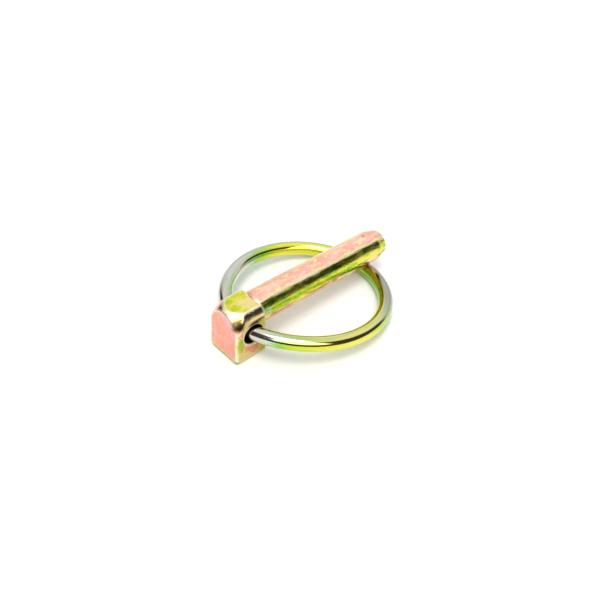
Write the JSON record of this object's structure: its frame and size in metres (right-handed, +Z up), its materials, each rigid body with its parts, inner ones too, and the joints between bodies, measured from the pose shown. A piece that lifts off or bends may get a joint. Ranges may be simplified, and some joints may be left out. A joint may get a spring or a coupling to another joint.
{
  "type": "lynch pin",
  "caption": "Lynch pin: forged head and round pointed shank in one piece, with an open spring wire ring that swings from the cross hole and snaps over the point.",
  "frame": {"origin": "centre of the round shank where it leaves the head's shoulder", "axes": "+X runs from the head towards the point, level with the floor and in the pin's middle plane; +Y runs along the cross hole; +Z is up. The part lies on a level floor, so the shank's own axis slopes down to the point by 2.5 degrees"},
  "size_m": [0.0501, 0.042, 0.0132],
  "materials": {
    "pin_steel": "zinc plated, yellow passivated, with pink, green and olive tints",
    "ring_steel": "zinc plated spring wire, pale yellow passivated, smooth and bright"
  },
  "bodies": {
    "pin": {"pin_body": "pin_steel"},
    "ring": {"spring_ring": "ring_steel"}
  },
  "joints": [
    {"name": "ring_swing", "type": "hinge", "parent": "pin", "child": "ring", "pos_m": [-0.00391, 0, -0.00235], "axis": [0, 1, 0], "range_deg": [0, 343]}
  ]
}
